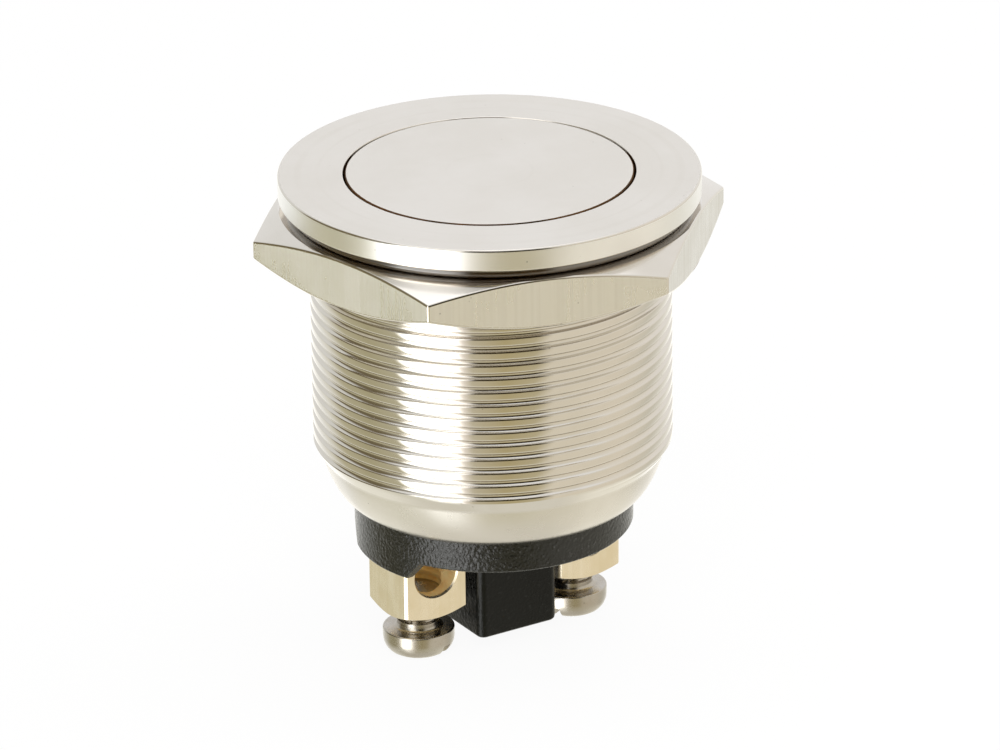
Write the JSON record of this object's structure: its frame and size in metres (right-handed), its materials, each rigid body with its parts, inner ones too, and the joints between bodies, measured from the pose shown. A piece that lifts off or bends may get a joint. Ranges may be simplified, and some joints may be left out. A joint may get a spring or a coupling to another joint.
{
  "type": "flush push button",
  "caption": "Flush metal push button for a round panel hole, with a flat flange, threaded barrel, hex nut and screw terminals on a moulded base.",
  "frame": {"origin": "centre of the flange's underside, where the threaded barrel begins and the panel's face lies", "axes": "+Z out of the panel along the barrel, towards the button's face; +X from the left terminal to the right one; -Y the way the wires leave"},
  "size_m": [0.0244, 0.0246, 0.026],
  "materials": {
    "steel_body": "fine-turned, satin",
    "steel_cap": "satin",
    "steel_nut": "machined, lightly scratched",
    "gasket_rubber": "glossy",
    "seal_rubber": "satin",
    "spring_steel": "drawn",
    "light_plastic": "moulded, matte",
    "contact_brass": "stamped",
    "contact_silver": "satin",
    "dark_plastic": "fine-grained, matte",
    "terminal_brass": "machined, satin",
    "screw_plating": "nickel-plated"
  },
  "bodies": {
    "body": {"housing": "steel_body", "guide_sleeve": "light_plastic", "insulating_base": "dark_plastic", "base_seal": "seal_rubber", "contact_strip_left": "contact_brass", "contact_strip_right": "contact_brass", "fixed_contact_left": "contact_silver", "fixed_contact_right": "contact_silver", "terminal_post_left": "terminal_brass", "terminal_post_right": "terminal_brass", "panel_gasket": "gasket_rubber"},
    "button": {"button_cap": "steel_cap", "cap_seal": "seal_rubber", "cap_clip": "spring_steel", "plunger": "light_plastic", "bridge_clip": "spring_steel", "return_spring": "spring_steel"},
    "bridge": {"contact_bridge": "contact_brass", "moving_contact_left": "contact_silver", "moving_contact_right": "contact_silver", "contact_spring": "spring_steel"},
    "screw_left": {"terminal_screw_left": "screw_plating"},
    "screw_right": {"terminal_screw_right": "screw_plating"},
    "nut": {"hex_nut": "steel_nut"}
  },
  "joints": [
    {"name": "button_press", "type": "slide", "parent": "body", "child": "button", "axis": [0, 0, -1], "range_m": [0, 0.0015], "stiffness_N_per_m": 1000, "springref_m": -0.002, "deforming": ["return_spring"]},
    {"name": "bridge_travel", "type": "slide", "parent": "body", "child": "bridge", "axis": [0, 0, -1], "range_m": [0, 0.0009], "deforming": ["contact_spring"]},
    {"name": "screw_left_drive", "type": "slide", "parent": "body", "child": "screw_left", "axis": [0, 0, 1], "range_m": [-0.001, 0.00105]},
    {"name": "screw_right_drive", "type": "slide", "parent": "body", "child": "screw_right", "axis": [0, 0, 1], "range_m": [-0.001, 0.00105]},
    {"name": "nut_run", "type": "slide", "parent": "body", "child": "nut", "axis": [0, 0, -1], "range_m": [0, 0.01]}
  ],
  "couplings": [
    {"joint": "bridge_travel", "follows": "button_press", "ratio": 0.6}
  ]
}
